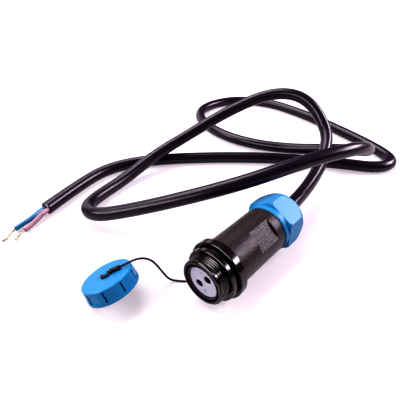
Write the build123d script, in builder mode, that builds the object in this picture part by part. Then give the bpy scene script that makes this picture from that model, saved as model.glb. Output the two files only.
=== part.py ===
"""Waterproof in-line cable connector with its dust cap, lanyard and about a metre of cable.

The origin is the centre of the mating rim. +Y runs along the connector from the rim to the cable and
+Z is up. The connector lies on its flange and on one corner of its gland nut. Lengths are millimetres
and angles are degrees. A turn about the connector is measured from +Z towards +X.
"""

import os
from math import cos, pi, radians, sin, tan

from build123d import *

os.makedirs("parts", exist_ok=True)

# Fits
slide_clearance = 0.05  # radial, between pieces that seat in each other
face_gap = 0.02  # axial, between faces that are clamped together
bend_share = 0.45  # part of a run that the arc at its end may take up

# Front shell
rim_radius = 9.25
rim_edge = 0.5
thread_radius = 9.95
thread_end = 5.0
collar_radius = 11.7
collar_length = 2.4
collar_edge = 0.4
tether_groove_radius = 10.1
tether_groove_width = 1.1
flange_radius = 13.0
flange_thickness = 3.6
flange_front_edge = 0.4
flange_back_edge = 0.3
spigot_radius = 8.9
spigot_length = 9.0

# Socket in the front shell
plug_groove_outer_radius = 8.5
plug_groove_inner_radius = 7.55
plug_groove_depth = 6.0
socket_tube_setback = 0.3
roll = 42.0  # turn of the line through both contacts and of the wrench flats
key_turns = (180.0, 46.0, -46.0)  # from the line of the contacts
key_width = 2.2
key_height = 0.45
key_root = 0.2
key_setback = 0.6

# Contact insert and its retainer
insert_bore_radius = 7.1
insert_seat_depth = 13.0
insert_recess = 1.1
insert_face_edge = 0.2
insert_flange_wall = 0.8
insert_flange_thickness = 2.5
insert_boss_radius = 5.6
insert_boss_length = 3.0
retainer_length = 2.4
retainer_slot_width = 1.6
retainer_slot_depth = 1.0

# Contacts
contact_pitch = 5.9
contact_sink_radius = 1.85
contact_sink_angle = 90.0
contact_mouth_depth = 3.2
contact_radius = 1.6
contact_pin_radius = 1.0
contact_pin_depth = 8.0
contact_collar_radius = 2.1
contact_collar_length = 1.0
contact_cup_radius = 1.45
contact_cup_length = 5.6
contact_cup_depth = 3.6
solder_tip_radius = 0.8
solder_tip_length = 3.4

# Seal between the shell and the rear housing
housing_seal_thickness = 0.7
housing_seal_width = 1.35

# Rear housing
housing_radius = 10.85
housing_length = 29.9
housing_front_edge = 0.3
housing_back_edge = 0.5
spigot_bore_spare = 0.4
cavity_radius = 8.2
cavity_length = 13.0
cavity_cone_length = 4.0
flat_distance = 9.7
flat_setback = 12.7
flat_length = 12.3
gland_boss_radius = 9.3
gland_boss_length = 8.0
seal_pocket_radius = 6.2
seal_pocket_depth = 7.1

# Gland nut
nut_gap = 0.3
nut_collar_radius = 11.2
nut_collar_length = 2.8
nut_collar_edge = 0.4
nut_corner_radius = 13.0
nut_sides = 6
nut_shoulder = 0.8
nut_hex_length = 7.2
nut_dome_length = 9.0
nut_dome_middle_radius = 11.2
nut_dome_middle_share = 0.5
nut_back_radius = 7.0
nut_cable_clearance = 0.4
nut_cone_front_radius = 7.0
nut_cone_back_radius = 4.8
nut_cone_length = 5.1

# Gland seal and collet
collet_flange_radius = 8.6
collet_flange_thickness = 1.2
collet_cable_clearance = 0.2
collet_root_radius = 6.6
collet_tip_radius = 4.5
collet_end_gap = 0.3
collet_slot_count = 6
collet_slot_width = 0.8

# Cable
cable_radius = 3.5
core_radius = 1.3
core_spacing = 2.64
strip_recess_radius = 2.75
strip_recess_depth = 3.0
strip_recess_spare = 0.2
strand_radius = 0.65
strand_grip = 1.9
lead_straight = 2.8
lead_slant = 6.0

# Dust cap
floor_height = -flange_radius
cap_x = -32.3
cap_y = -20.8
cap_tilt = 26.0
cap_lean = 193.0  # heading of the way its top faces
cap_height = 6.6
cap_radius = 11.2
cap_top_radius = 10.85
cap_top_edge = 0.3
cap_top_thickness = 1.4
cap_thread_clearance = 0.1
cap_rim_height = 1.1
cap_panel_count = 9
cap_panel_distance = 10.7
cap_panel_top = 0.7
cap_groove_turn = 24.0
cap_groove_width = 0.9
cap_groove_depth = 0.45
cap_seal_inner_radius = 7.0
cap_seal_thickness = 0.8

# Post in the dust cap
post_radius = 1.0
post_shoulder_radius = 1.5
post_shoulder_height = 0.1
post_head_radius = 1.5
post_head_height = 0.4
post_head_edge = 0.15
post_foot_radius = 1.9
post_foot_height = 0.5

# Lanyard
tether_heading = 52.0  # heading of the crimp on the cap, seen from above
tether_radius = 0.45
eye_clearance = 0.1
eye_width = 1.1
eye_thickness = 0.8
eye_neck_start = 1.9
crimp_height = 0.85
crimp_radius = 0.75
crimp_start = 2.5
crimp_length = 4.1
crimp_share = 0.42
tether_neck_turn = -140.0
tether_neck_reach = 14.3

cable_floor = floor_height + cable_radius

cable_points = [
    (0, 40, 0),
    (0, 64, 0),
    (-3, 92, 0),
    (-9, 118, 3),
    (-17, 135, 12),
    (-37, 139, 27),
    (-57, 130, 27),
    (-76, 110, 15),
    (-87, 87, 4),
    (-93, 62, -3),
    (-93, 35, cable_floor),
    (-90, 14, cable_floor),
    (-84, 3, -8),
    (-73, 1, -6),
    (-60, 10, -2),
    (-40, 25, 6),
    (-17, 48, 15),
    (-2, 75, 20.5),
    (8, 94, 22),
    (13, 109, 20),
    (13, 124, 13),
    (2, 134, 5),
    (-16, 137, -2),
    (-37, 134, -8),
    (-60, 125, cable_floor),
    (-84, 121, cable_floor),
    (-109, 126, cable_floor),
    (-129, 140, cable_floor),
    (-133, 162, cable_floor),
    (-123, 185, cable_floor),
    (-98, 198, cable_floor),
    (-66, 196, cable_floor),
    (-32, 187, cable_floor),
    (1, 176, cable_floor),
    (19, 165, cable_floor),
    (15, 150, cable_floor),
    (-5, 140, cable_floor),
    (-38, 120, cable_floor),
    (-71, 92, cable_floor),
    (-101, 60, cable_floor),
    (-111, 37, cable_floor),
    (-108, 15, cable_floor),
    (-101, -10, cable_floor),
]

core_blue_points = [
    (-103.0, -7.7, -9.5),
    (-101.3, -13.9, -9.5),
    (-99.9, -18.4, -9.9),
    (-99.4, -24.2, -10.6),
    (-99.4, -28.5, -11.2),
]

core_brown_points = [
    (-100.5, -6.9, -9.5),
    (-98.9, -12.6, -9.5),
    (-98.1, -15.7, -10.2),
    (-96.8, -20.1, -11.0),
    (-95.4, -25.4, -11.5),
]

strands_blue_far_points = [
    (-99.3, -29.8, -11.4),
    (-97.9, -32.2, -11.8),
    (-96.5, -34.2, -12.1),
    (-96.6, -36.6, -12.2),
]

strands_brown_far_points = [
    (-95.0, -26.8, -11.6),
    (-93.9, -29.6, -11.9),
    (-92.5, -31.6, -12.2),
]

tether_points = [
    (-30.5, -17.4, 0.0),
    (-28.2, -13.7, 1.7),
    (-25.0, -9.9, 4.2),
    (-21.9, -6.7, 3.7),
    (-20.7, -4.3, -0.5),
    (-19.8, -2.1, -6.2),
    (-18.6, 0.4, -12.0),
    (-15.3, 2.9, -12.5),
    (-12.6, 5.1, -12.5),
    (-10.9, 7.0, -12.1),
    (-9.3, 7.95, -11.0),
]

# Stations along the connector
collar_end = thread_end + collar_length
tether_groove_end = collar_end + tether_groove_width
flange_end = tether_groove_end + flange_thickness
spigot_end = flange_end + spigot_length
housing_start = flange_end + housing_seal_thickness
housing_end = housing_start + housing_length
spigot_bore_end = spigot_end + spigot_bore_spare
cavity_end = spigot_bore_end + cavity_length
cone_end = cavity_end + cavity_cone_length
gland_boss_end = housing_end + gland_boss_length
seal_pocket_end = gland_boss_end - seal_pocket_depth
nut_start = housing_end + nut_gap
nut_collar_end = nut_start + nut_collar_length
nut_hex_end = nut_collar_end + nut_hex_length
nut_end = nut_hex_end + nut_dome_length
collet_start = gland_boss_end + face_gap
collet_flange_end = collet_start + collet_flange_thickness
nut_cone_start = collet_flange_end + face_gap
nut_cone_end = nut_cone_start + nut_cone_length
collet_end = nut_cone_end - collet_end_gap
insert_flange_end = insert_seat_depth + insert_flange_thickness
insert_end = insert_flange_end + insert_boss_length
retainer_start = insert_flange_end + face_gap
contact_start = insert_recess + contact_mouth_depth
contact_collar_start = insert_end + face_gap
contact_collar_end = contact_collar_start + contact_collar_length
contact_end = contact_collar_end + contact_cup_length
lead_end = contact_end + face_gap

# Radii that follow from the fits
retainer_bore_radius = insert_bore_radius + insert_flange_wall
insert_radius = insert_bore_radius - slide_clearance
insert_flange_radius = retainer_bore_radius - slide_clearance
spigot_bore_radius = spigot_radius + slide_clearance
cable_passage_radius = cable_radius + nut_cable_clearance
contact_bore_radius = contact_radius + slide_clearance
contact_cup_bore_radius = solder_tip_radius + slide_clearance
gland_nut_bore_radius = gland_boss_radius + slide_clearance
cap_bore_radius = thread_radius + cap_thread_clearance
eye_inner_radius = post_radius + eye_clearance
eye_start = post_shoulder_height + slide_clearance
post_head_start = eye_start + eye_thickness + eye_clearance
tether_ring_radius = tether_groove_radius + tether_radius + slide_clearance
tether_ring_station = collar_end + tether_groove_width / 2

# Directions of the dust cap
cap_normal = Vector(
    sin(radians(cap_tilt)) * cos(radians(cap_lean)),
    sin(radians(cap_tilt)) * sin(radians(cap_lean)),
    cos(radians(cap_tilt)),
)
cap_centre = Vector(
    cap_x,
    cap_y,
    floor_height + cap_height * cos(radians(cap_tilt)) + cap_radius * sin(radians(cap_tilt)),
)
tether_plan = Vector(cos(radians(tether_heading)), sin(radians(tether_heading)), 0)
tether_direction = (tether_plan - cap_normal * cap_normal.dot(tether_plan)).normalized()
cap_plane = Plane(origin=cap_centre, x_dir=tether_direction, z_dir=cap_normal)
cap_section = Plane(origin=cap_centre, x_dir=tether_direction, z_dir=tether_direction.cross(cap_normal))
cap_axis = Axis(cap_centre, cap_normal)


def station(distance, turn=0.0):
    """Plane across the connector at a distance from the rim, its x axis at a turn from +Z."""
    return Plane(
        origin=(0, distance, 0),
        x_dir=(sin(radians(turn)), 0, cos(radians(turn))),
        z_dir=(0, 1, 0),
    )


def on_connector(offset, turn, distance):
    """Point at an offset from the connector's axis."""
    return (offset * sin(radians(turn)), distance, offset * cos(radians(turn)))


def bend_radii(points):
    """Arc radius at each inner corner, from its shorter run and its turn."""
    radii = []
    for before, corner, after in zip(points, points[1:], points[2:]):
        run_in = Vector(corner) - Vector(before)
        run_out = Vector(after) - Vector(corner)
        half_turn = radians(run_in.get_angle(run_out) / 2)
        radii.append(bend_share * min(run_in.length, run_out.length) / tan(half_turn))
    return radii


def end_plane(points):
    """Plane on the last point of a route that faces back along it."""
    back = Vector(points[-2]) - Vector(points[-1])
    return Plane(origin=points[-1], z_dir=back)


def inside_end(points, depth):
    """Point inside the end of a route, on its last run."""
    back = (Vector(points[-2]) - Vector(points[-1])).normalized()
    return tuple(Vector(points[-1]) + back * depth)


def draw_cord(name, points, radius):
    """Sweep a round section along straight runs and tangent arcs into the current part."""
    radii = bend_radii(points)
    with BuildLine() as route:
        FilletPolyline(*points, radius=radii)
    path = route.wire()
    with BuildSketch(Plane(origin=points[0], z_dir=Vector(points[1]) - Vector(points[0]))) as section:
        Circle(radius)
    tube = sweep(sections=section.sketch, path=path)
    volume_share = tube.volume / (pi * radius**2 * path.length)
    print(name, "length", round(path.length, 1), "volume share", round(volume_share, 4))
    print(name, "radii", [round(value, 1) for value in radii])


def lead_points(side):
    """Route of a core inside the housing, from the jacket's end to its solder cup."""
    jacket_offset = side * core_spacing / 2
    contact_offset = side * contact_pitch / 2
    jacket_end = cable_points[0][1]
    return [
        on_connector(jacket_offset, roll, jacket_end + strip_recess_depth - strip_recess_spare),
        on_connector(jacket_offset, roll, jacket_end - lead_straight),
        on_connector(contact_offset, roll, jacket_end - lead_straight - lead_slant),
        on_connector(contact_offset, roll, lead_end),
    ]


def draw_contact(side):
    """Turn a socket contact with its solder cup into the current part."""
    foot = on_connector(side * contact_pitch / 2, roll, 0)
    with BuildSketch(Plane(origin=foot)) as section:
        with BuildLine():
            Polyline(
                (contact_pin_radius, contact_start + face_gap),
                (contact_radius, contact_start + face_gap),
                (contact_radius, contact_collar_start),
                (contact_collar_radius, contact_collar_start),
                (contact_collar_radius, contact_collar_end),
                (contact_cup_radius, contact_collar_end),
                (contact_cup_radius, contact_end),
                (contact_cup_bore_radius, contact_end),
                (contact_cup_bore_radius, contact_end - contact_cup_depth),
                (0, contact_end - contact_cup_depth),
                (0, contact_start + face_gap + contact_pin_depth),
                (contact_pin_radius, contact_start + face_gap + contact_pin_depth),
                close=True,
            )
        make_face()
    revolve(profiles=section.sketch, axis=Axis(foot, (0, 1, 0)))


with BuildPart() as front_shell:
    with BuildSketch(Plane.XY):
        with BuildLine():
            Polyline(
                (plug_groove_outer_radius, 0),
                (rim_radius, 0),
                (thread_radius, rim_edge),
                (thread_radius, thread_end),
                (collar_radius - collar_edge, thread_end),
                (collar_radius, thread_end + collar_edge),
                (collar_radius, collar_end - collar_edge),
                (collar_radius - collar_edge, collar_end),
                (tether_groove_radius, collar_end),
                (tether_groove_radius, tether_groove_end),
                (flange_radius - flange_front_edge, tether_groove_end),
                (flange_radius, tether_groove_end + flange_front_edge),
                (flange_radius, flange_end - flange_back_edge),
                (flange_radius - flange_back_edge, flange_end),
                (spigot_radius, flange_end),
                (spigot_radius, spigot_end),
                (retainer_bore_radius, spigot_end),
                (retainer_bore_radius, insert_seat_depth),
                (insert_bore_radius, insert_seat_depth),
                (insert_bore_radius, socket_tube_setback),
                (plug_groove_inner_radius, socket_tube_setback),
                (plug_groove_inner_radius, plug_groove_depth),
                (plug_groove_outer_radius, plug_groove_depth),
                close=True,
            )
        make_face()
    revolve(axis=Axis.Y)
    with BuildSketch(station(key_setback, roll)):
        for key_turn in key_turns:
            with PolarLocations(plug_groove_inner_radius + (key_height - key_root) / 2, 1, key_turn):
                Rectangle(key_height + key_root, key_width)
    extrude(amount=plug_groove_depth - key_setback)
front_shell.part.label = "front_shell"
export_step(front_shell.part, "parts/front_shell.step")

with BuildPart() as contact_insert:
    with BuildSketch(Plane.XY):
        with BuildLine():
            Polyline(
                (0, insert_recess),
                (insert_radius - insert_face_edge, insert_recess),
                (insert_radius, insert_recess + insert_face_edge),
                (insert_radius, insert_seat_depth + face_gap),
                (insert_flange_radius, insert_seat_depth + face_gap),
                (insert_flange_radius, insert_flange_end),
                (insert_boss_radius, insert_flange_end),
                (insert_boss_radius, insert_end),
                (0, insert_end),
                close=True,
            )
        make_face()
    revolve(axis=Axis.Y)
    for contact_side in (1, -1):
        mouth = on_connector(contact_side * contact_pitch / 2, roll, insert_recess)
        with Locations(Plane(origin=mouth, z_dir=(0, -1, 0))):
            CounterSinkHole(
                radius=contact_bore_radius,
                counter_sink_radius=contact_sink_radius,
                depth=insert_end - insert_recess,
                counter_sink_angle=contact_sink_angle,
            )
contact_insert.part.label = "contact_insert"
export_step(contact_insert.part, "parts/contact_insert.step")

with BuildPart() as insert_retainer:
    with BuildSketch(station(retainer_start, roll)):
        Circle(insert_flange_radius)
        Circle(insert_boss_radius + slide_clearance, mode=Mode.SUBTRACT)
    extrude(amount=retainer_length)
    with BuildSketch(station(retainer_start + retainer_length - retainer_slot_depth, roll)):
        Rectangle(insert_flange_radius * 2, retainer_slot_width)
    extrude(amount=retainer_slot_depth, mode=Mode.SUBTRACT)
insert_retainer.part.label = "insert_retainer"
export_step(insert_retainer.part, "parts/insert_retainer.step")

with BuildPart() as contact_one:
    draw_contact(1)
contact_one.part.label = "contact_one"
export_step(contact_one.part, "parts/contact_one.step")

with BuildPart() as contact_two:
    draw_contact(-1)
contact_two.part.label = "contact_two"
export_step(contact_two.part, "parts/contact_two.step")

with BuildPart() as housing_seal:
    with BuildSketch(station(flange_end + face_gap)):
        Circle(spigot_bore_radius + housing_seal_width)
        Circle(spigot_bore_radius, mode=Mode.SUBTRACT)
    extrude(amount=housing_seal_thickness - face_gap * 2)
housing_seal.part.label = "housing_seal"
export_step(housing_seal.part, "parts/housing_seal.step")

with BuildPart() as rear_housing:
    with BuildSketch(Plane.XY):
        with BuildLine():
            Polyline(
                (spigot_bore_radius, housing_start),
                (housing_radius - housing_front_edge, housing_start),
                (housing_radius, housing_start + housing_front_edge),
                (housing_radius, housing_end - housing_back_edge),
                (housing_radius - housing_back_edge, housing_end),
                (gland_boss_radius, housing_end),
                (gland_boss_radius, gland_boss_end),
                (seal_pocket_radius, gland_boss_end),
                (seal_pocket_radius, seal_pocket_end),
                (cable_passage_radius, seal_pocket_end),
                (cable_passage_radius, cone_end),
                (cavity_radius, cavity_end),
                (cavity_radius, spigot_bore_end),
                (spigot_bore_radius, spigot_bore_end),
                close=True,
            )
        make_face()
    revolve(axis=Axis.Y)
    with BuildSketch(station(housing_start + flat_setback, roll)):
        with Locations((flat_distance, 0)):
            Rectangle(housing_radius, housing_radius * 2, align=(Align.MIN, Align.CENTER))
        with Locations((-flat_distance, 0)):
            Rectangle(housing_radius, housing_radius * 2, align=(Align.MAX, Align.CENTER))
    extrude(amount=flat_length, mode=Mode.SUBTRACT)
rear_housing.part.label = "rear_housing"
export_step(rear_housing.part, "parts/rear_housing.step")

with BuildPart() as gland_nut:
    with BuildSketch(Plane.XY):
        with BuildLine():
            Polyline(
                (nut_back_radius, nut_end),
                (cable_passage_radius, nut_end),
                (cable_passage_radius, nut_cone_end),
                (nut_cone_back_radius, nut_cone_end),
                (nut_cone_front_radius, nut_cone_start),
                (gland_nut_bore_radius, nut_cone_start),
                (gland_nut_bore_radius, nut_start),
                (nut_collar_radius - nut_collar_edge, nut_start),
                (nut_collar_radius, nut_start + nut_collar_edge),
                (nut_collar_radius, nut_collar_end),
                (nut_corner_radius - nut_shoulder, nut_collar_end),
                (nut_corner_radius, nut_collar_end + nut_shoulder),
                (nut_corner_radius, nut_hex_end),
            )
            ThreePointArc(
                (nut_corner_radius, nut_hex_end),
                (nut_dome_middle_radius, nut_hex_end + nut_dome_length * nut_dome_middle_share),
                (nut_back_radius, nut_end),
            )
        make_face()
    revolve(axis=Axis.Y)
    with BuildSketch(station(nut_start)):
        RegularPolygon(nut_corner_radius, nut_sides)
    extrude(amount=nut_end - nut_start, mode=Mode.INTERSECT)
gland_nut.part.label = "gland_nut"
export_step(gland_nut.part, "parts/gland_nut.step")

with BuildPart() as gland_seal:
    with BuildSketch(station(seal_pocket_end + face_gap)):
        Circle(seal_pocket_radius - slide_clearance)
        Circle(cable_radius + slide_clearance, mode=Mode.SUBTRACT)
    extrude(amount=seal_pocket_depth - face_gap)
gland_seal.part.label = "gland_seal"
export_step(gland_seal.part, "parts/gland_seal.step")

with BuildPart() as gland_collet:
    with BuildSketch(Plane.XY):
        with BuildLine():
            Polyline(
                (cable_radius + collet_cable_clearance, collet_start),
                (collet_flange_radius, collet_start),
                (collet_flange_radius, collet_flange_end),
                (collet_root_radius, collet_flange_end),
                (collet_tip_radius, collet_end),
                (cable_radius + collet_cable_clearance, collet_end),
                close=True,
            )
        make_face()
    revolve(axis=Axis.Y)
    with BuildSketch(station(collet_flange_end)):
        with PolarLocations(0, collet_slot_count):
            Rectangle(collet_flange_radius, collet_slot_width, align=(Align.MIN, Align.CENTER))
    extrude(amount=collet_end - collet_flange_end, mode=Mode.SUBTRACT)
gland_collet.part.label = "gland_collet"
export_step(gland_collet.part, "parts/gland_collet.step")

with BuildPart() as cable_jacket:
    draw_cord("cable_jacket", cable_points, cable_radius)
    with BuildSketch(station(cable_points[0][1])):
        Circle(strip_recess_radius)
    extrude(amount=strip_recess_depth, mode=Mode.SUBTRACT)
    with BuildSketch(end_plane(cable_points)):
        Circle(strip_recess_radius)
    extrude(amount=strip_recess_depth, mode=Mode.SUBTRACT)
cable_jacket.part.label = "cable_jacket"
export_step(cable_jacket.part, "parts/cable_jacket.step")

with BuildPart() as lead_blue:
    draw_cord("lead_blue", lead_points(1), core_radius)
    with BuildSketch(end_plane(lead_points(1))):
        Circle(solder_tip_radius)
    extrude(amount=-solder_tip_length)
lead_blue.part.label = "lead_blue"
export_step(lead_blue.part, "parts/lead_blue.step")

with BuildPart() as lead_brown:
    draw_cord("lead_brown", lead_points(-1), core_radius)
    with BuildSketch(end_plane(lead_points(-1))):
        Circle(solder_tip_radius)
    extrude(amount=-solder_tip_length)
lead_brown.part.label = "lead_brown"
export_step(lead_brown.part, "parts/lead_brown.step")

with BuildPart() as core_blue:
    draw_cord("core_blue", core_blue_points, core_radius)
    with BuildSketch(end_plane(core_blue_points)):
        Circle(strand_radius + slide_clearance)
    extrude(amount=strand_grip, mode=Mode.SUBTRACT)
core_blue.part.label = "core_blue"
export_step(core_blue.part, "parts/core_blue.step")

with BuildPart() as core_brown:
    draw_cord("core_brown", core_brown_points, core_radius)
    with BuildSketch(end_plane(core_brown_points)):
        Circle(strand_radius + slide_clearance)
    extrude(amount=strand_grip, mode=Mode.SUBTRACT)
core_brown.part.label = "core_brown"
export_step(core_brown.part, "parts/core_brown.step")

with BuildPart() as strands_blue:
    blue_start = inside_end(core_blue_points, strand_grip - face_gap)
    draw_cord("strands_blue", [blue_start] + strands_blue_far_points, strand_radius)
strands_blue.part.label = "strands_blue"
export_step(strands_blue.part, "parts/strands_blue.step")

with BuildPart() as strands_brown:
    brown_start = inside_end(core_brown_points, strand_grip - face_gap)
    draw_cord("strands_brown", [brown_start] + strands_brown_far_points, strand_radius)
strands_brown.part.label = "strands_brown"
export_step(strands_brown.part, "parts/strands_brown.step")

with BuildPart() as dust_cap:
    with BuildSketch(cap_section):
        with BuildLine():
            Polyline(
                (post_radius + slide_clearance, 0),
                (cap_top_radius - cap_top_edge, 0),
                (cap_top_radius, -cap_top_edge),
                (cap_radius, cap_rim_height - cap_height),
                (cap_radius, -cap_height),
                (cap_bore_radius, -cap_height),
                (cap_bore_radius, -cap_top_thickness),
                (post_radius + slide_clearance, -cap_top_thickness),
                close=True,
            )
        make_face()
    revolve(axis=cap_axis)
    with BuildSketch(cap_plane.offset(cap_rim_height - cap_height)):
        Circle(cap_radius + cap_groove_depth)
        RegularPolygon(
            cap_panel_distance,
            cap_panel_count,
            major_radius=False,
            rotation=cap_groove_turn,
            mode=Mode.SUBTRACT,
        )
        with PolarLocations(cap_panel_distance - cap_groove_depth, cap_panel_count, cap_groove_turn):
            Rectangle(cap_radius, cap_groove_width, align=(Align.MIN, Align.CENTER))
    extrude(amount=cap_height - cap_rim_height - cap_panel_top, mode=Mode.SUBTRACT)
dust_cap.part.label = "dust_cap"
export_step(dust_cap.part, "parts/dust_cap.step")

with BuildPart() as cap_seal:
    with BuildSketch(cap_plane.offset(-cap_top_thickness - face_gap)):
        Circle(cap_bore_radius - slide_clearance)
        Circle(cap_seal_inner_radius, mode=Mode.SUBTRACT)
    extrude(amount=-cap_seal_thickness)
cap_seal.part.label = "cap_seal"
export_step(cap_seal.part, "parts/cap_seal.step")

with BuildPart() as cap_post:
    with BuildSketch(cap_section):
        with BuildLine():
            Polyline(
                (0, -cap_top_thickness - face_gap - post_foot_height),
                (post_foot_radius, -cap_top_thickness - face_gap - post_foot_height),
                (post_foot_radius, -cap_top_thickness - face_gap),
                (post_radius, -cap_top_thickness - face_gap),
                (post_radius, face_gap),
                (post_shoulder_radius, face_gap),
                (post_shoulder_radius, post_shoulder_height),
                (post_radius, post_shoulder_height),
                (post_radius, post_head_start),
                (post_head_radius, post_head_start),
                (post_head_radius, post_head_start + post_head_height - post_head_edge),
                (post_head_radius - post_head_edge, post_head_start + post_head_height),
                (0, post_head_start + post_head_height),
                close=True,
            )
        make_face()
    revolve(axis=cap_axis)
cap_post.part.label = "cap_post"
export_step(cap_post.part, "parts/cap_post.step")

crimp_plane = Plane(
    origin=cap_centre + cap_normal * crimp_height + tether_direction * crimp_start,
    z_dir=tether_direction,
)

with BuildPart() as tether_eye:
    with BuildSketch(cap_plane.offset(eye_start)):
        Circle(eye_inner_radius + eye_width)
        Circle(eye_inner_radius, mode=Mode.SUBTRACT)
    extrude(amount=eye_thickness)
    with BuildSketch(crimp_plane.offset(eye_neck_start - crimp_start)):
        Circle(tether_radius)
    extrude(amount=crimp_start - eye_neck_start + crimp_length * crimp_share)
tether_eye.part.label = "tether_eye"
export_step(tether_eye.part, "parts/tether_eye.step")

with BuildPart() as tether_crimp:
    with BuildSketch(crimp_plane):
        Circle(crimp_radius)
        Circle(tether_radius + slide_clearance, mode=Mode.SUBTRACT)
    extrude(amount=crimp_length)
tether_crimp.part.label = "tether_crimp"
export_step(tether_crimp.part, "parts/tether_crimp.step")

with BuildPart() as tether_cord:
    draw_cord("tether_cord", tether_points, tether_radius)
tether_cord.part.label = "tether_cord"
export_step(tether_cord.part, "parts/tether_cord.step")

with BuildPart() as tether_ring:
    with BuildSketch(Plane.XY):
        with Locations((tether_ring_radius, tether_ring_station)):
            Circle(tether_radius)
    revolve(axis=Axis.Y)
    neck_start = on_connector(tether_ring_radius, tether_neck_turn, tether_ring_station)
    with BuildSketch(Plane(origin=neck_start, z_dir=on_connector(1, tether_neck_turn, 0))):
        Circle(tether_radius)
    extrude(amount=tether_neck_reach - tether_ring_radius)
tether_ring.part.label = "tether_ring"
export_step(tether_ring.part, "parts/tether_ring.step")
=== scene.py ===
"""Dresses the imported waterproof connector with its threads, grain, cable, lanyard and studio stage."""

from math import cos, pi, radians, sin, tau

import bpy
from bpy.props import FloatProperty, FloatVectorProperty, IntProperty, PointerProperty
from mathutils import Matrix, Vector


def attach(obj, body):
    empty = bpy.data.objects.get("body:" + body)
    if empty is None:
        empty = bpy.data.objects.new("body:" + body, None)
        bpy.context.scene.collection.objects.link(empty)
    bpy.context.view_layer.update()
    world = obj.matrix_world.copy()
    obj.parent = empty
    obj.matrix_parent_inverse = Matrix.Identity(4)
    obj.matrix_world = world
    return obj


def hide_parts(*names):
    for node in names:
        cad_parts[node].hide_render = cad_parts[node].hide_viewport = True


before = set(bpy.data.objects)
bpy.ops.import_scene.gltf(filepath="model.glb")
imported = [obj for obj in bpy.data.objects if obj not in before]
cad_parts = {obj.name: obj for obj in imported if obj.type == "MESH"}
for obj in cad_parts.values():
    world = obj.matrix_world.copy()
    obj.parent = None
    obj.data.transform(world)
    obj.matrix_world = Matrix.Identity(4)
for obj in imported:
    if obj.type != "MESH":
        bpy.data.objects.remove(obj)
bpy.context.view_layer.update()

bl_info = {
    "name": "Waterproof Cable Connector",
    "version": (1, 0, 0),
    "blender": (4, 5, 0),
    "location": "View3D > Sidebar > Connector",
    "description": "Dresses a waterproof cable connector, its dust cap and its cable",
    "category": "Add Mesh",
}

# Lengths are millimetres in the frame of the solids: +Y runs from the mating rim to the cable, +Z is up.
# Outlines are (radius, station) points, and a turn is measured from +Z towards +X.
MM = 0.001
FLOOR = -13.0
CABLE_FLOOR = FLOOR + 3.5  # the cable's middle where it lies on the floor
CUTTER_OVERHANG = 1.0  # how far a cutter stands out of the piece it cuts
MERGE_DISTANCE = 0.000001  # metres

# Steps of turned pieces and of a turn of thread
BODY_STEPS, CAP_STEPS, CAP_THREAD_STEPS, EYE_STEPS = 128, 144, 96, 64
POST_STEPS, HOLE_SHADE_STEPS, CORD_END_STEPS = 48, 40, 32

# Thread ridges: where the crest starts and ends and where the root comes again, in parts of the pitch
RIDGE_CREST_START, RIDGE_CREST_END, RIDGE_END = 0.455, 0.56, 0.76
RIDGE_SINK = 0.05  # depth of a ridge's foot in the wall that carries it

# Front shell
RIM_RADIUS, LIP_RADIUS, RIM_EDGE, LIP_END = 9.4, 9.9, 0.5, 0.85
THREAD_ROOT, THREAD_CREST, THREAD_START = 9.5, 9.93, 1.0
COLLAR_RADIUS, COLLAR_START, COLLAR_END, COLLAR_EDGE = 11.7, 5.0, 7.4, 0.35
TETHER_GROOVE_RADIUS = 10.1
FLANGE_RADIUS, FLANGE_START, FLANGE_END, FLANGE_EDGE = 13.0, 8.5, 12.1, 0.35
SPIGOT_RADIUS, SPIGOT_END = 8.9, 21.1
RETAINER_RADIUS, INSERT_SEAT = 7.9, 13.0
TUBE_BORE, TUBE_RADIUS, TUBE_START = 7.1, 7.55, 0.3
PLUG_GROOVE_RADIUS, PLUG_GROOVE_END = 8.5, 6.0
ROLL = 42.0  # turn of the contacts, the keys and the wrench flats
KEY_TURNS = (180.0, 46.0, -46.0)
KEY_SIZE, KEY_START, KEY_RISE = (2.2, 5.4, 0.7), 0.6, 0.1
SHELL_EDGE_SHARE, KEY_EDGE_SHARE, KEY_EDGE_SEGMENTS = 0.4, 2.0, 3  # parts of the common edge, and a count

# Contact insert
INSERT_FACE = 1.1
CONTACT_OFFSET = 2.95
# Dark linings inside the contact holes: painted shade that stands in for the shade deep in each hole
HOLE_SHADE_RADIUS, HOLE_SHADE_BORE, HOLE_SHADE_START, HOLE_SHADE_END = 1.64, 1.5, 1.4, 4.25
NUMBER_SIZE, NUMBER_RELIEF, NUMBER_SHIFT = 1.7, 0.05, (-3.1, 1.9)

# Rear housing
HOUSING_RADIUS, HOUSING_START, HOUSING_END = 10.85, 12.8, 42.7
HOUSING_FRONT_EDGE, HOUSING_BACK_EDGE = 0.3, 0.5
SPIGOT_BORE, SPIGOT_BORE_END = 8.95, 21.5
CAVITY_RADIUS, CAVITY_END, CONE_END = 8.2, 34.5, 38.5
CABLE_PASSAGE = 3.9
GLAND_BOSS_RADIUS, GLAND_BOSS_END = 9.3, 50.7
SEAL_POCKET_RADIUS, SEAL_POCKET_END = 6.2, 43.6
FLAT_DISTANCE, FLAT_START, FLAT_END = 9.7, 25.5, 37.8

# Gland nut
NUT_START, NUT_COLLAR_END, NUT_HEX_END, NUT_END = 43.0, 45.8, 53.0, 62.0
NUT_COLLAR_RADIUS, NUT_COLLAR_EDGE, NUT_CORNER_RADIUS, NUT_SHOULDER = 11.2, 0.4, 13.0, 0.8
NUT_SIDES = 6
NUT_DOME_MIDDLE, NUT_BACK_RADIUS, NUT_DOME_STEPS = 11.2, 7.0, 10
NUT_BORE, NUT_CONE_START, NUT_CONE_FRONT = 9.35, 51.94, 7.0
NUT_CONE_END, NUT_CONE_BACK = 57.04, 4.8
NUT_EDGE_ANGLE = 18.0

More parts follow.
